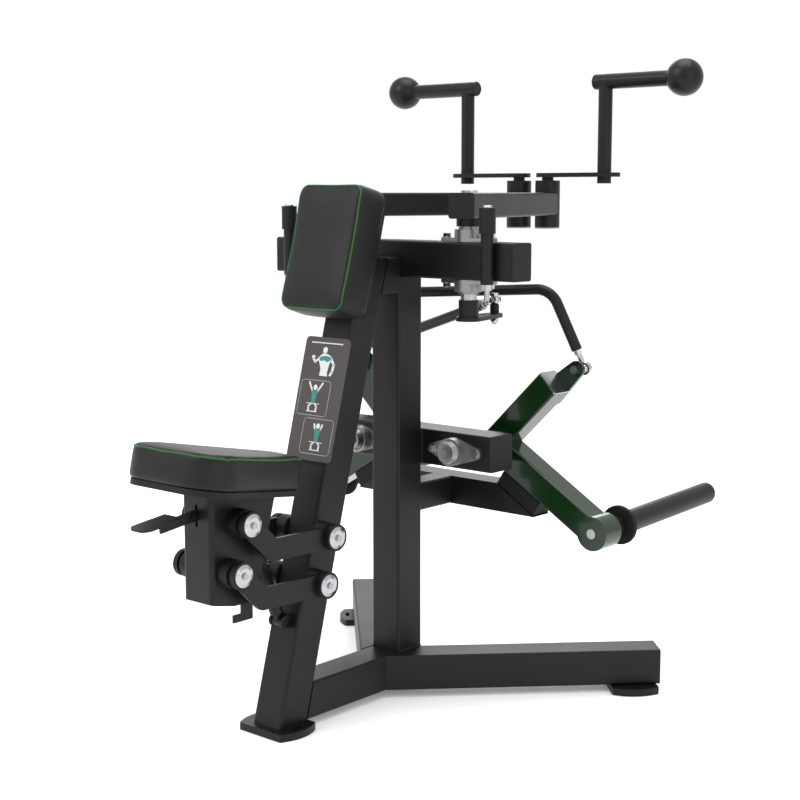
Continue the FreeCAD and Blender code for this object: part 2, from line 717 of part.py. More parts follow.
def build_weight_side():
    boss = at(boss_x, 0, boss_z)
    boss_run = (boss - weight_at).Length
    front = Y_AXIS * weight_front
    back = Y_AXIS * weight_back
    outer = joined([leg_bar(upper_leg_length - cap_thick, upper_leg_dir, 0, 0),
                    leg_bar(boss_run, lower_leg_dir, 0, 0),
                    rod(weight_at + front, weight_at + back, weight_tube / 2),
                    rod(boss + front, boss + back, boss_radius)])
    inner = leg_bar(upper_leg_length, upper_leg_dir, weight_wall, 5)
    inner = inner.fuse(leg_bar(boss_run - boss_radius, lower_leg_dir, weight_wall, 0))
    hub = rod(weight_at + front, weight_at + back, weight_shaft_radius + 8)
    tab_run = tab_at - tab_root
    tab = tapered_plate(tab_run.Length, weight_tube / 2 - 1, tab_end, tab_thick)
    tab = placed(tab, tab_root + back, tab_run, Y_AXIS)
    arm = joined([outer.cut(inner), hub, tab])
    arm = arm.cut(rod(weight_at + front - Y_AXIS, weight_at + back - Y_AXIS * weight_wall, weight_shaft_radius))
    arm = arm.cut(rod(tab_at, tab_at + Y_AXIS * 400, pin_radius))
    save_pair("weight_arm", arm)

    leg_tip = weight_at + Y_AXIS * (weight_front + weight_tube / 2) + upper_leg_dir * upper_leg_length
    leg_cap = bar(leg_tip - upper_leg_dir * cap_thick, leg_tip, Y_AXIS, weight_tube, weight_tube, 5.0)
    shaft_start = front_bearing_end + 14
    shaft = rod(weight_at + Y_AXIS * shaft_start, weight_at + back - Y_AXIS * weight_wall, weight_shaft_radius)
    head = tab_at + back
    tab_bolt = joined([rod(head - Y_AXIS * 9, tab_at + Y_AXIS * spacer_end, pin_radius),
                       hexagon(head - Y_AXIS * 9, head, 10.0),
                       rod(head + Y_AXIS * tab_thick, tab_at + Y_AXIS * spacer_end, spacer_radius)])
    washer = rod(boss + front - Y_AXIS * 2, boss + front, 11.0)
    save_pair("weight_arm_fittings", group([shaft, tab_bolt, washer, leg_cap]))

    root = boss + back
    end_y = column_y + rear_reach - horn_edge
    end_y += horn_edge * horn_dir.y - (horn_radius - horn_edge) * horn_dir.z
    horn_length = (end_y - root.y) / horn_dir.y
    collar_y = collar_start - weight_back
    shoulder = root + horn_dir * (collar_y + collar_thick)
    horn = rod(shoulder, root + horn_dir * horn_length, horn_radius)
    horn = horn.fuse(rod(root - horn_dir * 20, shoulder, horn_spigot)).removeSplitter()
    horn = horn.makeFillet(horn_edge, [edge for edge in horn.Edges if edge.BoundBox.YMin > end_y - 5])
    horn = horn.cut(rod(boss + front, boss + back, boss_radius + 5))
    horn = horn.cut(Part.makeCylinder(horn_radius - horn_wall, horn_length - horn_edge, root - horn_dir * 2, horn_dir))
    collar = rod(root + horn_dir * collar_y, root + horn_dir * (collar_y + collar_thick), collar_radius)
    collar = collar.makeFillet(3.0, [edge for edge in collar.Edges if len(edge.Vertexes) == 1])
    save_pair("horn_collar", collar.cut(rod(root, shoulder + horn_dir * collar_thick, horn_spigot)))
    save_pair("weight_horn", horn)


def rod_end_axis(along, wanted):
    """The axis nearest to `wanted` that is square to the rod."""
    return (wanted - along * wanted.dot(along)).normalize()


def rod_end(centre, along, wanted):
    """A rod end's ring, shank and lock nut; the shank runs the way `along` points."""
    axis = rod_end_axis(along, wanted)
    ring = rod(centre - axis * (ring_width / 2), centre + axis * (ring_width / 2), ring_radius)
    shank = rod(centre + along * (ring_radius - 2), centre + along * (shank_length + 4), shank_radius)
    nut = hexagon(centre + along * (shank_length - 10), centre + along * (shank_length - 1), lock_nut)
    return ring, shank, nut


def build_link(name, crank_end, arm_end, bend):
    """One link rod, from a crank pin to the weight arm on the other side."""
    first = ((bend or arm_end) - crank_end).normalize()
    last = ((bend or crank_end) - arm_end).normalize()
    ring_a, shank_a, nut_a = rod_end(crank_end, first, Z_AXIS)
    ring_b, shank_b, nut_b = rod_end(arm_end, last, Y_AXIS)
    socket = Part.makeSphere(ball_insert + 0.08, crank_end)
    start = crank_end + first * shank_length
    end = arm_end + last * shank_length
    if bend is None:
        body = rod(start, end, rod_radius)
    else:
        turn = math.acos(max(-1.0, min(1.0, first.dot(last * -1))))
        tangent = bend_radius * math.tan(turn / 2)
        inward = (last * -1 - first).normalize()
        before = bend - first * tangent
        after = bend + last * -tangent
        middle = bend + inward * (bend_radius / math.cos(turn / 2) - bend_radius)
        path = Part.Wire([Part.LineSegment(start, before).toShape(),
                          Part.Arc(before, middle, after).toShape(),
                          Part.LineSegment(after, end).toShape()])
        profile = Part.Wire([Part.makeCircle(rod_radius, start, first)])
        body = path.makePipeShell([profile], True, False)
    flats = rod(arm_end - Y_AXIS * insert_half, arm_end + Y_AXIS * insert_half, ball_insert + 1)
    insert = joined([Part.makeSphere(ball_insert, arm_end).common(flats),
                     rod(arm_end - Y_AXIS * insert_half, arm_end + Y_AXIS * insert_half, insert_neck),
                     rod(arm_end + Y_AXIS * insert_half, arm_end + Y_AXIS * (insert_half + 10), pin_radius),
                     hexagon(arm_end + Y_AXIS * insert_half, arm_end + Y_AXIS * (insert_half + 7), 9.5)])
    save("link_rod_" + name, joined([ring_a.cut(socket), shank_a.cut(socket), nut_a, body, shank_b, nut_b, ring_b,
                                     insert]))

    ball = joined([Part.makeSphere(ball_insert, crank_end),
                   rod(crank_end - Z_AXIS * insert_half, crank_end + Z_AXIS * insert_half, insert_neck)])
    ball = ball.common(rod(crank_end - Z_AXIS * insert_half, crank_end + Z_AXIS * insert_half, ball_insert))
    ball = ball.cut(rod(crank_end - Z_AXIS * 20, crank_end + Z_AXIS * 20, pin_radius + running_gap))
    save("link_ball_" + name, ball)


def build_links():
    right_pin = V(crank_pin_at.x, crank_pin_at.y, joint_height)
    left_pin = V(-crank_pin_at.x, crank_pin_at.y, joint_height)
    right_arm = V(tab_at.x, column_y + joint_depth, tab_at.z)
    left_arm = V(-tab_at.x, column_y + joint_depth, tab_at.z)
    build_link("right", right_pin, left_arm, None)
    build_link("left", left_pin, right_arm, at(bend_x, bend_depth, bend_height))


def build_pad_and_placard():
    half_wide = pad_width / 2
    board = bar(on_post(0, pad_start + board_inset, board_thick / 2), on_post(0, pad_end - board_inset, board_thick / 2),
                X_AXIS, board_thick, pad_width - 2 * board_inset, 1.0)
    save("pad_board", board)

    inner = board_thick + soft_gap
    long = pad_end - pad_start
    pad = block(-half_wide, half_wide, 0, long, 0, pad_thick)
    pad = fillet_along(pad, Z_AXIS, pad_corner)
    pad = pad.makeFillet(8.0, [edge for edge in pad.Edges if edge.BoundBox.ZMin > pad_thick - 0.1])
    save("chest_pad", placed(pad, on_post(0, pad_start, inner), X_AXIS, post_out))

    plate = block(-placard_width / 2, placard_width / 2, 0, placard_end - placard_start, 0, placard_thick)
    plate = fillet_along(plate, Z_AXIS, 10.0)
    placard = placed(plate, on_post(0, placard_start, placard_stand), X_AXIS, post_out)
    spacers = []
    for x in (-tube / 4, tube / 4):
        for along in (placard_start + 25, placard_end - 25):
            spacers.append(rod(on_post(x, along, 0), on_post(x, along, placard_stand), 6.0))
    save("placard", joined([placard] + spacers))


def seat_outline(inset, thick):
    """The seat's rounded trapezoid, level, with its top at z = 0."""
    slope = math.cos(math.radians(seat_tilt))
    length = (seat_front - seat_rear) / slope
    corners = [V(-seat_rear_half, 0, 0), V(seat_rear_half, 0, 0),
               V(seat_front_half, length, 0), V(-seat_front_half, length, 0)]
    solid = Part.Face(Part.makePolygon(corners + corners[:1])).extrude(V(0, 0, -thick))
    rear = [edge for edge in solid.Edges if edge.BoundBox.ZLength > 1 and edge.BoundBox.YMax < 1]
    solid = solid.makeFillet(seat_rear_corner, rear)
    nose = [edge for edge in solid.Edges if edge.BoundBox.ZLength > 1 and edge.BoundBox.YMin > length - 1
            and edge.BoundBox.YLength < 0.1]
    solid = solid.makeFillet(seat_front_corner, nose)
    if inset > 0:
        top = [face for face in solid.Faces if face.BoundBox.ZMin > -0.1][0]
        smaller = top.makeOffset2D(-inset)
        solid = smaller.extrude(V(0, 0, -thick))
    return solid


def seat_plane(shape, drop):
    """Lays a shape whose top is z = 0 on the seat's tilted plane, `drop` below the cushion's top."""
    origin = at(0, seat_rear, seat_level) - seat_up * drop
    return placed(shape, origin, X_AXIS, seat_up)


def build_seat():
    pad = seat_outline(0, seat_thick)
    pad = pad.makeFillet(6.0, [edge for edge in pad.Edges if edge.BoundBox.ZMin > -0.1])
    save("seat_pad", seat_plane(pad, 0))
    board = seat_outline(seat_board_inset, seat_board_thick)
    board_drop = seat_thick + soft_gap
    save("seat_board", seat_plane(board, board_drop))

    under = board_drop + seat_board_thick
    room = seat_plane(block(-300, 300, -100, 600, 0, 400), under)
    front = column_y + housing_front
    back_top = column_y - 424.0
    outline = [V(0, front, 321), V(0, front + 58, 309), V(0, front + 129.5, 309), V(0, front + 129.5, 340),
               V(0, front + 135.4, 378.5), V(0, back_top, 516), V(0, back_top, 600), V(0, front, 600)]
    side = Part.Face(Part.makePolygon(outline + outline[:1]))
    shell = side.extrude(X_AXIS * (2 * housing_half))
    shell.translate(X_AXIS * -housing_half)
    front_edges = [edge for edge in shell.Edges if edge.BoundBox.YMax < front + 0.1 and edge.BoundBox.ZLength > 50]
    shell = shell.makeFillet(housing_corner, front_edges)
    hollow = block(housing_wall - housing_half, housing_half - housing_wall, front + housing_wall,
                   column_y, 200, 700)
    hollow = fillet_along(hollow, Z_AXIS, housing_corner - housing_wall)
    hollow = hollow.cut(seat_plane(block(-300, 300, -100, 600, -housing_wall, 400), under))
    shell = shell.cut(hollow).cut(room)
    shell = shell.cut(block(-slot_width / 2, slot_width / 2, front - 5, front + 20, slot_bottom, slot_top))
    strap_y = column_y - 500.0
    strap = block(-housing_half + 1, housing_half - 1, strap_y, strap_y + 30, 322, 328)
    hook = block(18, 23, strap_y, strap_y + 30, 266, 325)
    toe = block(18, 23, strap_y - 22, strap_y + 5, 266, 282)
    pin = rod(at(1 - housing_half, spring_top_y, spring_top_z), at(housing_half - 1, spring_top_y, spring_top_z),
              spring_pin)
    shell = joined([shell, strap, hook, toe, pin])
    lever_bore = rod(at(-housing_half - 1, lever_pivot_y, lever_pivot_z),
                     at(housing_half + 1, lever_pivot_y, lever_pivot_z), 4.0 + running_gap)
    save("seat_housing", shell.cut(lever_bore))


def seat_pivot(y, z):
    """The seat end of a link whose frame end is at (y, z)."""
    rise = math.radians(link_rise)
    return at(0, y - link_length * math.cos(rise), z + link_length * math.sin(rise))


def link_plate(points):
    """One flat link through three points, lying from x = 0 outward."""
    parts = []
    for start, end in zip(points, points[1:]):
        run = end - start
        strip = block(0, run.Length, -link_width / 2, link_width / 2, 0, link_thick)
        parts.append(placed(strip, start, run, X_AXIS))
    for point in points:
        parts.append(rod(point, point + X_AXIS * link_thick, link_width / 2))
    plate = joined(parts)
    for point in (points[0], points[-1]):
        plate = plate.cut(rod(point - X_AXIS, point + X_AXIS * (link_thick + 1), link_pin + running_gap))
    plate.translate(X_AXIS * link_inner)
    return plate


def link_pin_set(points, root):
    """Boss, pin, disc, dome and bolt head at each pivot, on both sides of the machine."""
    parts = []
    for point in points:
        boss_end = link_inner - side_gap
        disc_start = link_inner + link_thick + side_gap
        disc_end = disc_start + disc_thick
        parts.append(joined([rod(point + X_AXIS * root, point + X_AXIS * boss_end, link_boss),
                             rod(point + X_AXIS * root, point + X_AXIS * disc_end, link_pin),
                             rod(point + X_AXIS * disc_start, point + X_AXIS * disc_end, disc_radius),
                             cone(point + X_AXIS * disc_end, point + X_AXIS * (disc_end + 3), disc_dome, 16.0),
                             rod(point + X_AXIS * disc_end, point + X_AXIS * (disc_end + 7), 7.0)]))
    return group(parts + [mirrored(part) for part in parts])


def build_seat_links():
    upper = at(0, upper_pivot_y, upper_pivot_z)
    lower = at(0, lower_pivot_y, lower_pivot_z)
    upper_seat = seat_pivot(upper_pivot_y, upper_pivot_z)
    lower_seat = seat_pivot(lower_pivot_y, lower_pivot_z)
    save("upper_links", both(link_plate([upper_seat, at(0, upper_elbow_y, upper_elbow_z), upper])))
    save("lower_links", both(link_plate([lower_seat, at(0, lower_elbow_y, lower_elbow_z), lower])))
    save("post_link_pins", link_pin_set([upper, lower], tube / 2))
    save("seat_link_pins", link_pin_set([upper_seat, lower_seat], housing_half))


def build_gas_spring():
    foot = at(0, spring_foot_y, spring_foot_z)
    top = at(0, spring_top_y, spring_top_z)
    along = (top - foot).normalize()
    eye = rod(foot - X_AXIS * spring_eye_half, foot + X_AXIS * spring_eye_half, spring_eye)
    neck = rod(foot, foot + along * (spring_neck_end + 2), spring_neck)
    barrel = rod(foot + along * spring_neck_end, foot + along * spring_barrel_end, spring_barrel)
    barrel = joined([eye, neck, barrel])
    barrel = barrel.cut(rod(foot + along * (spring_neck_end + 3), foot + along * (spring_barrel_end - 8),
                            spring_barrel - 2))
    barrel = barrel.cut(rod(foot + along * 100, foot + along * 300, spring_rod + running_gap))
    barrel = barrel.cut(rod(foot - X_AXIS * 20, foot + X_AXIS * 20, spring_pin + running_gap))
    save("gas_cylinder", barrel)

    rod_start = top - along * spring_rod_length
    gas_rod = joined([rod(rod_start, top - along * 10, spring_rod),
                      rod(rod_start, rod_start + along * 8, spring_barrel - 2.5),
                      rod(top - X_AXIS * 10, top + X_AXIS * 10, spring_pin + spring_top_slack + 4)])
    gas_rod = gas_rod.cut(rod(top - X_AXIS * 20, top + X_AXIS * 20, spring_pin + spring_top_slack))
    save("gas_rod", gas_rod)

    ears = []
    for x in (-spring_eye_half - 6.5, spring_eye_half + 0.5):
        disc = rod(foot + X_AXIS * x, foot + X_AXIS * (x + 6), 13.0)
        arm = block(x, x + 6, foot.y, foot.y + 40, foot.z - 13, foot.z + 13)
        ears.append(disc.fuse(arm))
    pin = rod(foot - X_AXIS * (spring_eye_half + 8), foot + X_AXIS * (spring_eye_half + 8), spring_pin)
    behind_face = placed(block(-100, 100, -200, 1400, -200, 0), on_post(0, 0, 0), X_AXIS, post_out)
    save("spring_bracket", joined(ears + [pin]).cut(behind_face))


def build_lever():
    """The lever lies along its own X axis, from the paddle's tip back to the pivot."""
    pivot = at(0, lever_pivot_y, lever_pivot_z)
    slope = math.radians(lever_rise)
    back = V(0, math.cos(slope), math.sin(slope))
    up = V(0, -math.sin(slope), math.cos(slope))
    tip_drop = paddle_thick * math.sin(slope)
    reach = (front_reach + lever_pivot_y - tip_drop) / math.cos(slope)
    tip = pivot - back * reach
    half = paddle_width / 2
    paddle = block(0, paddle_length, -half, half, 0, paddle_thick)
    rounded = [edge for edge in paddle.Edges if edge.BoundBox.ZLength > 1 and edge.BoundBox.XMax < 1]
    paddle = paddle.makeFillet(paddle_corner, rounded)
    arm = block(paddle_length * 0.6, reach, -lever_thick / 2, lever_thick / 2, -lever_height, 0.5)
    screws = []
    for along in (screw_first, screw_first + screw_step):
        centre = V(along, 0, -lever_height / 2)
        screws.append(rod(centre - Y_AXIS * (lever_thick + 2), centre + Y_AXIS * (lever_thick + 1), lever_screw))
    lever = placed(joined([paddle, arm] + screws), tip, back, up)
    knuckle = rod(pivot - X_AXIS * lever_thick / 2, pivot + X_AXIS * lever_thick / 2, 12.0)
    trunnion_half = housing_half - 0.5
    trunnion = rod(pivot - X_AXIS * trunnion_half, pivot + X_AXIS * trunnion_half, 4.0)
    save("seat_lever", joined([lever, knuckle, trunnion]))


def main():
    os.makedirs("parts", exist_ok=True)
    build_frame()
    build_stops()
    build_caps()
    build_feet()
    build_bearings()
    build_press_side()
    build_handles()
    build_weight_side()
    build_links()
    build_pad_and_placard()
    build_seat()
    build_seat_links()
    build_gas_spring()
    build_lever()


main()
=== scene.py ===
import math
import bpy
import bmesh
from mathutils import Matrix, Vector, geometry, kdtree
from mathutils.bvhtree import BVHTree


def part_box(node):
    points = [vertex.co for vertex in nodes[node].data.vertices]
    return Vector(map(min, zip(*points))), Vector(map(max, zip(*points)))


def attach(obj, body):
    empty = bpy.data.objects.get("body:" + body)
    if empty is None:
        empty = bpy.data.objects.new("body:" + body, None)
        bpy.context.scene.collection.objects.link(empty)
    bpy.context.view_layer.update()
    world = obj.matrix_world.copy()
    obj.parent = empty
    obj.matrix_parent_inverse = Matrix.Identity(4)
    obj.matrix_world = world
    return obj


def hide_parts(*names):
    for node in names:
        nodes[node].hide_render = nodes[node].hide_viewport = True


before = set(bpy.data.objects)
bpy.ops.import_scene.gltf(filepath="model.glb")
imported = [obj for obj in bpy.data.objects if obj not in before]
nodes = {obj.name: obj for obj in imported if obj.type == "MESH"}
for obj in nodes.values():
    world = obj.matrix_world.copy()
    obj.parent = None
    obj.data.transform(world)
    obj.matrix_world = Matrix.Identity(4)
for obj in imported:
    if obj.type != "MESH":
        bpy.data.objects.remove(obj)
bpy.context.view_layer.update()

# camera

cameraPlace = {
    "position": (2.1963, -2.4571, 1.1265),  # metres, right and in front of the machine
    "turn": 41.1756,  # degrees round Z
    "dip": 7.93,  # degrees below the horizon
    "lens": 67.41,
    "sensor": 36.0,
    "clip": (0.05, 60.0),
}


def makeCamera(place):
    data = bpy.data.cameras.new("studioCamera")
    data.lens = place["lens"]
    data.sensor_width = place["sensor"]
    data.clip_start, data.clip_end = place["clip"]
    camera = bpy.data.objects.new("studioCamera", data)
    camera.location = place["position"]
    camera.rotation_euler = (math.radians(90 - place["dip"]), 0, math.radians(place["turn"]))
    bpy.context.scene.collection.objects.link(camera)
    bpy.context.scene.camera = camera


makeCamera(cameraPlace)
print("camera set")

# finishes: colours are linear, sizes are in metres

paintValues = {
    "colour": (0.0045, 0.0045, 0.0048), "rough": 0.42, "grain": 0.0011,
    "bump": 0.12, "coat": 0.0, "wander": 0.18,
}
greenValues = {
    "colour": (0.0012, 0.0165, 0.0022), "rough": 0.2, "grain": 0.003,
    "bump": 0.04, "coat": 0.4, "wander": 0.1,
}
capValues = {
    "colour": (0.0045, 0.0045, 0.0048), "rough": 0.55, "grain": 0.0008,
    "bump": 0.16, "coat": 0.0, "wander": 0.2,
}
gripValues = {
    "colour": (0.004, 0.004, 0.0043), "rough": 0.36, "grain": 0.0016,
    "bump": 0.1, "coat": 0.0, "wander": 0.2,
}
rubberValues = {
    "colour": (0.005, 0.005, 0.005), "rough": 0.72, "grain": 0.0014,
    "bump": 0.25, "coat": 0.0, "wander": 0.25,
}
boardValues = {
    "colour": (0.006, 0.0058, 0.0055), "rough": 0.6, "grain": 0.002,
    "bump": 0.3, "coat": 0.0, "wander": 0.3,
}
vinylValues = {
    "colour": (0.006, 0.006, 0.0063), "rough": 0.46, "grain": 0.0017,
    "bump": 0.3, "coat": 0.0, "wander": 0.12,
}
pipingValues = {
    "colour": (0.012, 0.085, 0.016), "rough": 0.4, "grain": 0.001,
    "bump": 0.2, "coat": 0.0, "wander": 0.12,
}
lightCapValues = {
    "colour": (0.36, 0.36, 0.37), "rough": 0.4, "grain": 0.0012,
    "bump": 0.12, "coat": 0.0, "wander": 0.08,
}
placardValues = {
    "colour": (0.05, 0.044, 0.043), "rough": 0.38, "grain": 0.0012,
    "bump": 0.05, "coat": 0.3, "wander": 0.08,
}
inkValues = {
    "colour": (0.62, 0.63, 0.63), "rough": 0.45, "grain": 0.001,
    "bump": 0.05, "coat": 0.0, "wander": 0.05,
}
tealValues = {
    "colour": (0.03, 0.21, 0.19), "rough": 0.45, "grain": 0.001,
    "bump": 0.05, "coat": 0.0, "wander": 0.08,
}
lineValues = {
    "colour": (0.26, 0.26, 0.26), "rough": 0.45, "grain": 0.001,
    "bump": 0.05, "coat": 0.0, "wander": 0.05,
}
# the bolt sockets' near-black colour is painted shade, standing in for the depth of the socket
socketShadeValues = {
    "colour": (0.02, 0.02, 0.021), "rough": 0.5, "grain": 0.001,
    "bump": 0.1, "coat": 0.0, "wander": 0.2,
}
steelValues = {
    "colour": (0.42, 0.42, 0.435), "rough": 0.22, "grain": 0.0025,
    "bump": 0.05, "coat": 0.0, "wander": 0.1,
}
castValues = {
    "colour": (0.26, 0.26, 0.27), "rough": 0.36, "grain": 0.0016,
    "bump": 0.22, "coat": 0.0, "wander": 0.1,
}


skinValues = {
    "patchScale": 9.0,  # broad wear and handling marks
    "patchDetail": 6.0,
    "sheenRange": (0.88, 1.14),
    "peelDetail": 3.0,  # the fine skin of the coat
    "peelDepth": 0.25,  # of the grain
    "specular": 0.25,
    "coatRough": 0.06,
}


def coatedFinish(name, values):
    material = bpy.data.materials.new(name)
    material.use_nodes = True
    tree = material.node_tree
    shader = tree.nodes["Principled BSDF"]
    shader.inputs["Roughness"].default_value = values["rough"]
    shader.inputs["Coat Weight"].default_value = values["coat"]
    shader.inputs["Coat Roughness"].default_value = skinValues["coatRough"]
    shader.inputs["Specular IOR Level"].default_value = skinValues["specular"]
    place = tree.nodes.new("ShaderNodeTexCoord")
    patches = tree.nodes.new("ShaderNodeTexNoise")
    patches.inputs["Scale"].default_value = skinValues["patchScale"]
    patches.inputs["Detail"].default_value = skinValues["patchDetail"]
    tree.links.new(place.outputs["Object"], patches.inputs["Vector"])
    tint = tree.nodes.new("ShaderNodeMapRange")
    tint.inputs["To Min"].default_value = 1 - values["wander"]
    tint.inputs["To Max"].default_value = 1 + values["wander"]
    tree.links.new(patches.outputs["Fac"], tint.inputs["Value"])
    shade = tree.nodes.new("ShaderNodeVectorMath")
    shade.operation = "SCALE"
    shade.inputs[0].default_value = values["colour"]
    tree.links.new(tint.outputs["Result"], shade.inputs["Scale"])
    tree.links.new(shade.outputs["Vector"], shader.inputs["Base Color"])
    sheen = tree.nodes.new("ShaderNodeMapRange")
    sheen.inputs["To Min"].default_value = values["rough"] * skinValues["sheenRange"][0]
    sheen.inputs["To Max"].default_value = values["rough"] * skinValues["sheenRange"][1]
    tree.links.new(patches.outputs["Fac"], sheen.inputs["Value"])
    tree.links.new(sheen.outputs["Result"], shader.inputs["Roughness"])
    peel = tree.nodes.new("ShaderNodeTexNoise")
    peel.inputs["Scale"].default_value = 1 / values["grain"]
    peel.inputs["Detail"].default_value = skinValues["peelDetail"]
    tree.links.new(place.outputs["Object"], peel.inputs["Vector"])
    bump = tree.nodes.new("ShaderNodeBump")
    bump.inputs["Strength"].default_value = values["bump"]
    bump.inputs["Distance"].default_value = values["grain"] * skinValues["peelDepth"]
    tree.links.new(peel.outputs["Fac"], bump.inputs["Height"])
    tree.links.new(bump.outputs["Normal"], shader.inputs["Normal"])
    return material


def metalFinish(name, values):
    material = coatedFinish(name, values)
    material.node_tree.nodes["Principled BSDF"].inputs["Metallic"].default_value = 1.0
    return material


blackPaint = coatedFinish("satinBlackPaint", paintValues)
greenPaint = coatedFinish("glossGreenPaint", greenValues)
capPlastic = coatedFinish("matteCapPlastic", capValues)
gripPlastic = coatedFinish("smoothGripPlastic", gripValues)
blackRubber = coatedFinish("blackRubber", rubberValues)
paintedBoard = coatedFinish("paintedBoard", boardValues)
blackVinyl = coatedFinish("blackVinyl", vinylValues)
greenPiping = coatedFinish("greenPiping", pipingValues)
greyCap = coatedFinish("lightGreyCap", lightCapValues)
placardPlate = coatedFinish("placardPlate", placardValues)
whiteInk = coatedFinish("whiteInk", inkValues)
tealInk = coatedFinish("tealInk", tealValues)
greyInk = coatedFinish("greyLineInk", lineValues)
# painted shade for the shallow bolt sockets
socketPaintedShade = coatedFinish("socketPaintedShade", socketShadeValues)
brightSteel = metalFinish("zincPlatedSteel", steelValues)
castSteel = metalFinish("castBearingSteel", castValues)
print("finishes made")

# finishes on the parts of the frame

plainFinishes = [
    (blackPaint, (
        "base_beam", "rear_leg_right", "rear_leg_left", "column", "front_post", "post_brace",
        "upper_crossbeam", "mid_crossbeam", "back_beam", "stop_crossbeam", "front_foot", "rear_feet",
        "stop_posts", "spring_bracket", "upper_links", "lower_links", "seat_housing", "seat_lever",
        "gas_cylinder")),
    (blackRubber, ("stop_bumpers",)),
    (capPlastic, ("tube_end_caps", "stop_sleeves")),
    (castSteel, ("shaft_bearings", "pivot_bearings")),
    (brightSteel, ("frame_bolts", "gas_rod")),
    (placardPlate, ("placard",)),
    (paintedBoard, ("pad_board", "seat_board")),
]
sideFinishes = [
    (blackPaint, ("press_arm", "crank", "handle_frame", "weight_horn")),
    (greenPaint, ("weight_arm",)),
    (brightSteel, ("press_shaft", "link_ball", "weight_arm_fittings")),
    (gripPlastic, ("handle_grip",)),
    (blackRubber, ("horn_collar",)),
]


def finishNode(name, material):
    node = nodes[name]
    node.data.materials.clear()
    node.data.materials.append(material)


def splitNode(name, outer, inner, isInner):
    node = nodes[name]
    finishNode(name, outer)
    node.data.materials.append(inner)
    for polygon in node.data.polygons:
        polygon.material_index = 1 if isInner(polygon.center) else 0


for material, names in plainFinishes:
    for name in names:
        finishNode(name, material)
for material, stems in sideFinishes:
    for stem in stems:
        finishNode(stem + "_right", material)
        finishNode(stem + "_left", material)

mixedParts = {
    "hubCapFront": 0.3,  # the tail cap lies ahead of this, the hub cap behind it
    "hubCapTop": 1.0392,  # the light cap under the handle hub ends here
    "silverEnd": 0.052,  # reach of the silver end on a link rod, from its ball
    "crankSleeveFoot": 0.846,  # below this the crank bolt shows bare
    "crankSleeveTop": 0.880,
    "pinDiscReach": 0.080,  # the silver dome and its bolt lie beyond this, along X
    "pinDiscRadius": 0.0228,
    "pinBoss": 0.029,  # radius of the black boss, which bounds the pins' box
    "rodEye": (0.0153, 0.019, 0.0146),  # from the far corner of a link rod's box to its ball
}


def rodEyes(side):
    ballLow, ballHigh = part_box(f"link_ball_{side}")
    rodLow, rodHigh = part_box(f"link_rod_{side}")
    insetX, insetY, insetZ = mixedParts["rodEye"]
    farX = rodLow.x + insetX if side == "right" else rodHigh.x - insetX
    return (ballLow + ballHigh) / 2, Vector((farX, rodHigh.y - insetY, rodLow.z + insetZ))


def discAxes(name):
    low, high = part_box(name)
    half = mixedParts["pinBoss"]
    return (high.y - half, high.z - half), (low.y + half, low.z + half)


def isHubCap(centre):
    return centre.y > mixedParts["hubCapFront"] and centre.z < mixedParts["hubCapTop"]


def isBareBolt(centre):
    return centre.z < mixedParts["crankSleeveFoot"] or centre.z > mixedParts["crankSleeveTop"]


def isRodEnd(centre, eyes):
    return min((centre - eye).length for eye in eyes) < mixedParts["silverEnd"]


def isSilverDisc(centre, axes):
    off = min(math.hypot(centre.y - y, centre.z - z) for y, z in axes)
    return abs(centre.x) > mixedParts["pinDiscReach"] and off < mixedParts["pinDiscRadius"]


for side in ("right", "left"):
    splitNode(f"arm_caps_{side}", capPlastic, greyCap, isHubCap)
    splitNode(f"crank_bolt_{side}", capPlastic, brightSteel, isBareBolt)
    eyes = rodEyes(side)
    splitNode(f"link_rod_{side}", blackPaint, brightSteel, lambda centre: isRodEnd(centre, eyes))
for name in ("seat_link_pins", "post_link_pins"):
    axes = discAxes(name)
    splitNode(name, capPlastic, brightSteel, lambda centre: isSilverDisc(centre, axes))
print("frame finished")

# upholstery: each pad is a closed skin over foam, blown up a little against its board

slope = math.radians(15)
seatDip = math.radians(9.9)
chestPadValues = {
    "node": "chest_pad", "body": "base", "along": (0, math.sin(slope), math.cos(slope)),
    "out": (0, -math.cos(slope), math.sin(slope)), "shrink": 0.0022, "edge": 0.011, "voxel": 0.005,
    "pressure": 3.0, "cap": 0.005, "calm": 40,
    "pipingInset": 0.0085, "pipingRadius": 0.0021, "groove": 0.0016,
}
seatPadValues = {
    "node": "seat_pad", "body": "seat", "along": (0, math.cos(seatDip), -math.sin(seatDip)),
    "out": (0, math.sin(seatDip), math.cos(seatDip)), "shrink": 0.0022, "edge": 0.009, "voxel": 0.005,
    "pressure": 3.0, "cap": 0.005, "calm": 40,
    "pipingInset": 0.0065, "pipingRadius": 0.0021, "groove": 0.0016,
}


skinShape = {
    "step": 0.004,  # along the outline
    "foot": 0.004,  # small bevel against the board
    "crest": 0.001,  # left free above, for the swelling
    "edgeSteps": 4,
    "heldDepth": 0.012,  # stapled to the board below this
    "smoothing": 2,
    "fill": 0.85,
}
clothValues = {"quality": 6, "stiffness": 25, "frames": 20}
seamValues = {
    "step": 0.003, "above": 0.03, "reach": 0.009, "spread": 0.0028,
    "lift": 0.0002, "sides": 10,
}


def padFrame(values):
    across = Vector((1, 0, 0))
    along = Vector(values["along"])
    out = Vector(values["out"])
    points = [v.co.copy() for v in nodes[values["node"]].data.vertices]
    flat = [Vector((p.dot(across), p.dot(along))) for p in points]
    heights = [p.dot(out) for p in points]
    hull = [flat[i] for i in geometry.convex_hull_2d(flat)]
    return across, along, out, hull, min(heights), max(heights)


def evenOutline(hull, step):
    count = len(hull)
    lengths = [(hull[(i + 1) % count] - hull[i]).length for i in range(count)]
    total = sum(lengths)
    number = int(total / step)
    made = []
    for k in range(number):
        reach = total * k / number
        i = 0
        while reach > lengths[i]:
            reach -= lengths[i]
            i += 1
        made.append(hull[i].lerp(hull[(i + 1) % count], reach / lengths[i]))
    return made


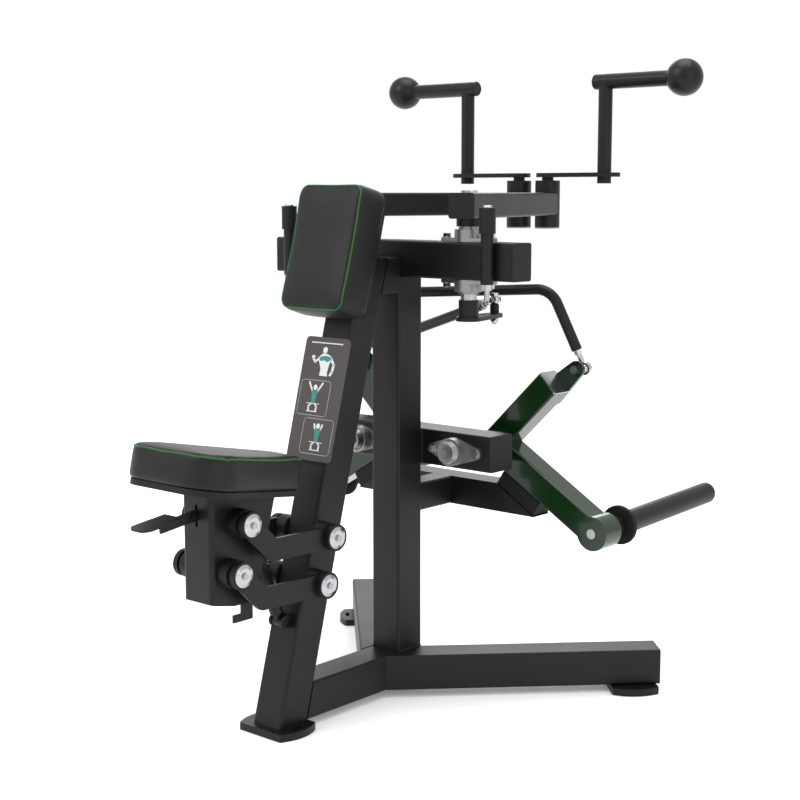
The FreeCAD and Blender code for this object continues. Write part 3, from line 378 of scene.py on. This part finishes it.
def insetOutline(outline, distance):
    count = len(outline)
    following = outline[1:] + outline[:1]
    area = sum(a.x * b.y - b.x * a.y for a, b in zip(outline, following))
    turn = 1 if area > 0 else -1
    made = []
    for i in range(count):
        run = (outline[(i + 1) % count] - outline[i - 1]).normalized()
        made.append(outline[i] + Vector((-run.y, run.x)) * turn * distance)
    return made


def closedSkin(mesh, rings):
    count = len(rings[0])
    for lower, upper in zip(rings, rings[1:]):
        for i in range(count):
            mesh.faces.new((lower[i], lower[(i + 1) % count], upper[(i + 1) % count], upper[i]))
    mesh.faces.new(rings[0])
    mesh.faces.new(rings[-1])


def pieceFrom(mesh, name):
    bmesh.ops.recalc_face_normals(mesh, faces=mesh.faces)
    data = bpy.data.meshes.new(name)
    mesh.to_mesh(data)
    mesh.free()
    piece = bpy.data.objects.new(name, data)
    bpy.context.scene.collection.objects.link(piece)
    return piece


def fixedPiece(mesh, name, material, body):
    piece = pieceFrom(mesh, name)
    piece.data.materials.append(material)
    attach(piece, body)


def padSkin(values, across, along, out, hull, low, high):
    outline = evenOutline(hull, skinShape["step"])
    shrink = values["shrink"]
    edge = values["edge"]
    foot = skinShape["foot"]
    rings = [(shrink + foot, low), (shrink, low + foot)]
    for k in range(skinShape["edgeSteps"] + 1):
        angle = math.radians(90 * k / skinShape["edgeSteps"])
        rise = high - skinShape["crest"] - edge + edge * math.sin(angle)
        rings.append((shrink + edge * (1 - math.cos(angle)), rise))
    mesh = bmesh.new()
    loops = []
    for inset, height in rings:
        inner = insetOutline(outline, inset)
        loops.append([mesh.verts.new(across * p.x + along * p.y + out * height) for p in inner])
    closedSkin(mesh, loops)
    return pieceFrom(mesh, values["node"] + "_upholstery")


def applied(piece):
    graph = bpy.context.evaluated_depsgraph_get()
    made = bpy.data.meshes.new_from_object(piece.evaluated_get(graph), depsgraph=graph)
    piece.modifiers.clear()
    piece.data = made


def blowUp(pad, values, out, low):
    remesh = pad.modifiers.new("evenSkin", "REMESH")
    remesh.mode = "VOXEL"
    remesh.voxel_size = values["voxel"]
    applied(pad)
    rest = [v.co.copy() for v in pad.data.vertices]
    held = pad.vertex_groups.new(name="held")
    backed = [v.index for v in pad.data.vertices if v.co.dot(out) < low + skinShape["heldDepth"]]
    held.add(backed, 1.0, "REPLACE")
    cloth = pad.modifiers.new("skin", "CLOTH")
    cloth.settings.use_pressure = True
    cloth.settings.uniform_pressure_force = values["pressure"]
    cloth.settings.effector_weights.gravity = 0
    cloth.settings.vertex_group_mass = "held"
    cloth.settings.quality = clothValues["quality"]
    cloth.settings.tension_stiffness = clothValues["stiffness"]
    cloth.settings.compression_stiffness = clothValues["stiffness"]
    cloth.point_cache.frame_start = 1
    cloth.point_cache.frame_end = clothValues["frames"]
    scene = bpy.context.scene
    for step in range(1, clothValues["frames"] + 1):
        scene.frame_set(step)
    applied(pad)
    scene.frame_set(1)
    shifts = [v.co - start for v, start in zip(pad.data.vertices, rest)]
    shifts = [s.normalized() * min(s.length, values["cap"]) for s in shifts]
    near = [[] for _ in rest]
    for edge in pad.data.edges:
        a, b = edge.vertices
        near[a].append(b)
        near[b].append(a)
    for _ in range(values["calm"]):
        sums = [sum((shifts[n] for n in ring), shift) for shift, ring in zip(shifts, near)]
        shifts = [total / (len(ring) + 1) for total, ring in zip(sums, near)]
    for vertex, start, shift in zip(pad.data.vertices, rest, shifts):
        vertex.co = start + shift


def softened(pad, rounds):
    mesh = bmesh.new()
    mesh.from_mesh(pad.data)
    for _ in range(rounds):
        bmesh.ops.smooth_vert(
            mesh, verts=mesh.verts, factor=0.5, use_axis_x=True, use_axis_y=True, use_axis_z=True)
    mesh.to_mesh(pad.data)
    mesh.free()


# paths: a tube or a row of small pieces laid along a line


def pathObject(name, lines, closed):
    curve = bpy.data.curves.new(name, "CURVE")
    curve.dimensions = "3D"
    for line in lines:
        spline = curve.splines.new("POLY")
        spline.points.add(len(line) - 1)
        for point, place in zip(spline.points, line):
            point.co = (*place, 1)
        spline.use_cyclic_u = closed
    path = bpy.data.objects.new(name, curve)
    bpy.context.scene.collection.objects.link(path)
    return path


def newTree(name, sizes):
    tree = bpy.data.node_groups.new(name, "GeometryNodeTree")
    tree.interface.new_socket("Geometry", in_out="INPUT", socket_type="NodeSocketGeometry")
    identifiers = {}
    for label, kind in sizes.items():
        identifiers[label] = tree.interface.new_socket(label, in_out="INPUT", socket_type=kind).identifier
    tree.interface.new_socket("Geometry", in_out="OUTPUT", socket_type="NodeSocketGeometry")
    start = tree.nodes.new("NodeGroupInput")
    end = tree.nodes.new("NodeGroupOutput")
    return tree, identifiers, start, end


def closeTree(tree, geometrySocket, material, end):
    realize = tree.nodes.new("GeometryNodeRealizeInstances")
    smooth = tree.nodes.new("GeometryNodeSetShadeSmooth")
    paint = tree.nodes.new("GeometryNodeSetMaterial")
    paint.inputs["Material"].default_value = material
    tree.links.new(geometrySocket, realize.inputs["Geometry"])
    tree.links.new(realize.outputs["Geometry"], smooth.inputs["Geometry"])
    tree.links.new(smooth.outputs["Geometry"], paint.inputs["Geometry"])
    tree.links.new(paint.outputs["Geometry"], end.inputs["Geometry"])


def tubeTree(name, material):
    tree, identifiers, start, end = newTree(name, {"Radius": "NodeSocketFloat", "Sides": "NodeSocketInt"})
    ring = tree.nodes.new("GeometryNodeCurvePrimitiveCircle")
    sweep = tree.nodes.new("GeometryNodeCurveToMesh")
    tree.links.new(start.outputs["Radius"], ring.inputs["Radius"])
    tree.links.new(start.outputs["Sides"], ring.inputs["Resolution"])
    tree.links.new(start.outputs["Geometry"], sweep.inputs["Curve"])
    tree.links.new(ring.outputs["Curve"], sweep.inputs["Profile Curve"])
    closeTree(tree, sweep.outputs["Mesh"], material, end)
    return tree, identifiers


def beadTree(name, material):
    sizes = {
        "Pitch": "NodeSocketFloat", "Width": "NodeSocketFloat", "Uneven": "NodeSocketFloat",
        "Seed": "NodeSocketInt",
    }
    tree, identifiers, start, end = newTree(name, sizes)
    walk = tree.nodes.new("GeometryNodeResampleCurve")
    walk.mode = "LENGTH"
    tree.links.new(start.outputs["Geometry"], walk.inputs["Curve"])
    tree.links.new(start.outputs["Pitch"], walk.inputs["Length"])
    drop = tree.nodes.new("GeometryNodeMeshUVSphere")
    drop.inputs["Segments"].default_value = 10
    drop.inputs["Rings"].default_value = 6
    tree.links.new(start.outputs["Width"], drop.inputs["Radius"])
    spread = tree.nodes.new("FunctionNodeRandomValue")
    spread.data_type = "FLOAT"
    less = tree.nodes.new("ShaderNodeMath")
    less.operation = "SUBTRACT"
    less.inputs[0].default_value = 1.0
    tree.links.new(start.outputs["Uneven"], less.inputs[1])
    tree.links.new(less.outputs["Value"], spread.inputs[2])
    tree.links.new(start.outputs["Seed"], spread.inputs["Seed"])
    lay = tree.nodes.new("GeometryNodeInstanceOnPoints")
    tree.links.new(walk.outputs["Curve"], lay.inputs["Points"])
    tree.links.new(drop.outputs["Mesh"], lay.inputs["Instance"])
    tree.links.new(spread.outputs[1], lay.inputs["Scale"])
    closeTree(tree, lay.outputs["Instances"], material, end)
    return tree, identifiers


def grown(path, tree, identifiers, sizes, body, slotName):
    grower = path.modifiers.new("grower", "NODES")
    grower.node_group = tree
    for label, size in sizes.items():
        grower[identifiers[label]] = size
    graph = bpy.context.evaluated_depsgraph_get()
    made = bpy.data.meshes.new_from_object(path.evaluated_get(graph), depsgraph=graph)
    name = path.name
    bpy.data.objects.remove(path)
    piece = bpy.data.objects.new(name, made)
    bpy.context.scene.collection.objects.link(piece)
    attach(piece, body)


def pressSeam(pad, seam, out, values):
    tree = kdtree.KDTree(len(seam))
    for i, point in enumerate(seam):
        tree.insert(point, i)
    tree.balance()
    for vertex in pad.data.vertices:
        gap = tree.find(vertex.co)[2]
        if gap < seamValues["reach"]:
            vertex.co -= out * values["groove"] * math.exp(-((gap / seamValues["spread"]) ** 2))


def seamOnPad(pad, values, across, along, out, hull, high):
    skin = BVHTree.FromObject(pad, bpy.context.evaluated_depsgraph_get())
    seam = []
    for p in insetOutline(evenOutline(hull, seamValues["step"]), values["pipingInset"]):
        above = across * p.x + along * p.y + out * (high + seamValues["above"])
        seam.append(skin.ray_cast(above, -out)[0])
    return seam


def upholster(values, tubing):
    across, along, out, hull, low, high = padFrame(values)
    pad = padSkin(values, across, along, out, hull, low, high)
    blowUp(pad, values, out, low)
    softened(pad, skinShape["smoothing"])
    finer = pad.modifiers.new("finer", "SUBSURF")
    finer.levels = 1
    finer.render_levels = 1
    applied(pad)
    seam = seamOnPad(pad, values, across, along, out, hull, high)
    pressSeam(pad, seam, out, values)
    pad.data.materials.clear()
    pad.data.materials.append(blackVinyl)
    for polygon in pad.data.polygons:
        polygon.use_smooth = True
        polygon.material_index = 0
    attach(pad, values["body"])
    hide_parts(values["node"])
    line = [p + out * seamValues["lift"] for p in seam]
    path = pathObject(values["node"] + "_piping", [line], True)
    sizes = {"Radius": values["pipingRadius"], "Sides": seamValues["sides"]}
    grown(path, *tubing, sizes, values["body"], "vinyl")
    print(values["node"], "upholstered")


tubing = tubeTree("pipingTube", greenPiping)
upholster(chestPadValues, tubing)
upholster(seatPadValues, tubing)

# welds: a row of overlapping drops where the column meets the upper and mid crossbeams, and round its
# foot

weldValues = {"Pitch": 0.0028, "Width": 0.0032, "Uneven": 0.22, "Seed": 7}
tubeCorner = 0.006  # a weld stops where the tube's corner turns


def weldLines():
    columnLow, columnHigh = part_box("column")
    midLow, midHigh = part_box("mid_crossbeam")
    topLow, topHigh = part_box("upper_crossbeam")
    corner = tubeCorner
    lines = []
    for x in (columnLow.x, columnHigh.x):
        lines.append([(x, topLow.y + corner, topLow.z), (x, topHigh.y - corner, topLow.z)])
        lines.append([(x, midLow.y, midLow.z + corner), (x, midLow.y, midHigh.z - corner)])
        foot = columnLow.z
        lines.append([(x, columnLow.y + corner, foot), (x, columnHigh.y - corner, foot)])
    return lines


welding = beadTree("weldDrops", blackPaint)
grown(pathObject("frame_welds", weldLines(), False), *welding, weldValues, "base", "black_paint")
print("welds laid")

# hexagon sockets in the pivot bolts of the seat links: shallow dishes whose near-black colour is painted
# shade standing in for the socket depth

socketSizes = {"across": 0.0075, "lip": 1.25, "floor": 0.9, "depth": 0.0006, "recess": 0.0003}


def hexagonRing(mesh, x, y, z, radius):
    turns = [math.radians(60 * k) for k in range(6)]
    return [mesh.verts.new((x, y + radius * math.cos(t), z + radius * math.sin(t))) for t in turns]


def boltSockets(node, body):
    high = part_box(node)[1]
    radius = socketSizes["across"] / 2
    mesh = bmesh.new()
    for y, z in discAxes(node):
        for side in (-1, 1):
            face = side * high.x
            back = face - side * socketSizes["depth"]
            inside = face - side * socketSizes["recess"]
            lip = radius * socketSizes["lip"]
            places = ((back, lip), (face, lip), (face, radius), (inside, radius * socketSizes["floor"]))
            closedSkin(mesh, [hexagonRing(mesh, x, y, z, wide) for x, wide in places])
    fixedPiece(mesh, node + "_sockets", socketPaintedShade, body)


boltSockets("seat_link_pins", "seat")
boltSockets("post_link_pins", "base")
print("sockets made")

# placard print: a large figure and two framed ones, and bars where words would stand

printValues = {
    "units": 264,  # the print is drawn in this many units up the placard
    "sink": 0.0001,
    "lift": 0.00035,
    "overprint": 0.0002,  # the muscles lie this much above the figures
    "lapping": 0.35,  # of a band's width, past each of its corners
}


def placardPlace():
    points = [v.co.copy() for v in nodes["placard"].data.vertices]
    along = Vector(chestPadValues["along"])
    out = Vector(chestPadValues["out"])
    face = max(p.dot(out) for p in points)
    foot = min(p.dot(along) for p in points)
    top = max(p.dot(along) for p in points)
    return along, out, face, foot, top


def printedShape(name, shapes, material, extra=0.0):
    along, out, face, foot, top = placardPlace()
    scale = (top - foot) / printValues["units"]
    mesh = bmesh.new()
    for shape in shapes:
        flat = [Vector((u * scale, 0, 0)) + along * (foot + v * scale) for u, v in shape]
        heights = (face - printValues["sink"], face + printValues["lift"] + extra)
        closedSkin(mesh, [[mesh.verts.new(p + out * height) for p in flat] for height in heights])
    fixedPiece(mesh, name, material, "base")


def bandShape(points, width, closed=False):
    made = []
    count = len(points)
    for i in range(count if closed else count - 1):
        a = Vector(points[i])
        b = Vector(points[(i + 1) % count])
        run = (b - a).normalized() * width * printValues["lapping"]
        side = Vector((-(b - a).y, (b - a).x)).normalized() * width / 2
        made.append([a - run + side, b + run + side, b + run - side, a - run - side])
    return made


def roundShape(x, y, wide, tall, sides=20):
    turns = [2 * math.pi * k / sides for k in range(sides)]
    return [(x + wide * math.cos(t), y + tall * math.sin(t)) for t in turns]


def roundedFrame(x, y, halfWide, halfTall, corner):
    made = []
    for cx, cy, start in ((1, 1, 0), (-1, 1, 90), (-1, -1, 180), (1, -1, 270)):
        for k in range(6):
            angle = math.radians(start + 90 * k / 5)
            u = x + cx * (halfWide - corner) + corner * math.cos(angle)
            v = y + cy * (halfTall - corner) + corner * math.sin(angle)
            made.append((u, v))
    return made


figureValues = {
    "frames": ((-13, 133, 6), (14, 52, 0)),  # middle, and how far the arms reach
    "frameHalf": (43, 37.5),
    "frameCorner": 8,
    "frameLine": 1.7,
    "stretch": (1.3, 1.12),
    "chestFoot": 181,  # the large figure stands here
    "chestDrawn": 158,
    "chestScale": 0.75,
    "bars": (9, -45, 10.2, 7.4, 251.5, 2.6),  # count, start, pitch, length, height, width
}


def smallFigure(reach):
    white = [roundShape(0, 20, 4.2, 5.2)]
    for side in (-1, 1):
        arm = [(2.4 * side, 6), (6.5 * side, 14), ((9 + reach) * side, 23 + reach)]
        leg = [(4 * side, -11), (9 * side, -17), (8 * side, -24)]
        white += bandShape(arm, 3.4)
        white += bandShape(leg, 3.2)
    white += bandShape([(-14, -11), (14, -11)], 1.3)
    white += bandShape([(-11, -26), (11, -26)], 1.6)
    teal = [[(-7, 13), (7, 13), (5, 1), (4.4, -10), (-4.4, -10), (-5, 1)]]
    return white, teal


def largeFigure():
    white = [roundShape(-3, 232, 6.6, 9.2)]
    rightSide = [(2, 222), (16, 216), (21, 205), (15, 196), (12, 170), (14, 158)]
    leftSide = [(-9, 158), (-8, 176), (-13, 192), (-19, 204), (-16, 214)]
    white += [[(-8, 222), *rightSide, *leftSide]]
    white += bandShape([(-17, 208), (-27, 196), (-34, 206)], 6.0)
    white += [roundShape(-34, 210, 5.0, 5.4)]
    white += bandShape([(18, 208), (28, 192), (26, 172), (22, 162)], 6.4)
    teal = [[(-13, 213), (2, 216), (16, 213), (18, 205), (8, 198), (-2, 203), (-11, 199), (-16, 206)]]
    return white, teal


def shifted(shapes, x, y, wide, tall):
    return [[(x + u * wide, y + v * tall) for u, v in shape] for shape in shapes]


def printPlacard():
    frames = []
    white = []
    teal = []
    for x, y, reach in figureValues["frames"]:
        outline = roundedFrame(x, y, *figureValues["frameHalf"], figureValues["frameCorner"])
        frames += bandShape(outline, figureValues["frameLine"], closed=True)
        figure, muscles = smallFigure(reach)
        white += shifted(figure, x, y, *figureValues["stretch"])
        teal += shifted(muscles, x, y, *figureValues["stretch"])
    figure, muscles = largeFigure()
    scale = figureValues["chestScale"]
    foot = figureValues["chestFoot"] - figureValues["chestDrawn"] * scale
    white += shifted(figure, 0, foot, 1, scale)
    teal += shifted(muscles, 0, foot, 1, scale)
    count, first, pitch, length, height, width = figureValues["bars"]
    for k in range(count):
        start = first + pitch * k
        white += bandShape([(start, height), (start + length, height)], width)
    printedShape("placard_frames", frames, greyInk)
    printedShape("placard_figures", white, whiteInk)
    printedShape("placard_muscles", teal, tealInk, printValues["overprint"])


printPlacard()
print("placard printed")

# lights and floor

lightValues = {
    "key": {"place": (-1.6, -4.2, 4.2), "aim": (0, 0, 0.7), "size": 3.2, "power": 130},
    "fill": {"place": (4.6, -1.2, 2.2), "aim": (0, 0, 0.7), "size": 3.4, "power": 30},
    "top": {"place": (0.3, 0.4, 4.6), "aim": (0, 0, 0.6), "size": 3.0, "power": 110},
    "rim": {"place": (-2.6, 3.6, 3.0), "aim": (0, 0, 0.9), "size": 2.6, "power": 60},
}
backdropValues = {
    "white": 1.0, "floor": (0.9, 0.9, 0.9), "rough": 0.9, "glow": 0.15,
    "half": 14.0, "drop": 0.0005,
}


def makeLight(name, values):
    data = bpy.data.lights.new(name, "AREA")
    data.shape = "SQUARE"
    data.size = values["size"]
    data.energy = values["power"]
    light = bpy.data.objects.new(name, data)
    light.location = values["place"]
    gaze = Vector(values["aim"]) - Vector(values["place"])
    light.rotation_euler = gaze.to_track_quat("-Z", "Y").to_euler()
    bpy.context.scene.collection.objects.link(light)


def makeFloor(values):
    half = values["half"]
    low = -values["drop"]
    data = bpy.data.meshes.new("studioFloor")
    corners = [(-half, -half, low), (half, -half, low), (half, half, low), (-half, half, low)]
    data.from_pydata(corners, [], [(0, 1, 2, 3)])
    floor = bpy.data.objects.new("studioFloor", data)
    bpy.context.scene.collection.objects.link(floor)
    material = bpy.data.materials.new("studioFloor")
    material.use_nodes = True
    shader = material.node_tree.nodes["Principled BSDF"]
    shader.inputs["Base Color"].default_value = (*values["floor"], 1)
    shader.inputs["Roughness"].default_value = values["rough"]
    shader.inputs["Emission Color"].default_value = (1, 1, 1, 1)
    shader.inputs["Emission Strength"].default_value = values["glow"]
    data.materials.append(material)


def makeSurround(values):
    world = bpy.data.worlds.new("studioSurround")
    world.use_nodes = True
    shader = world.node_tree.nodes["Background"]
    shader.inputs["Color"].default_value = (1, 1, 1, 1)
    shader.inputs["Strength"].default_value = values["white"]
    bpy.context.scene.world = world


for name, values in lightValues.items():
    makeLight(name, values)
makeFloor(backdropValues)
makeSurround(backdropValues)
bpy.context.scene.view_settings.view_transform = "Standard"
print("lights set")
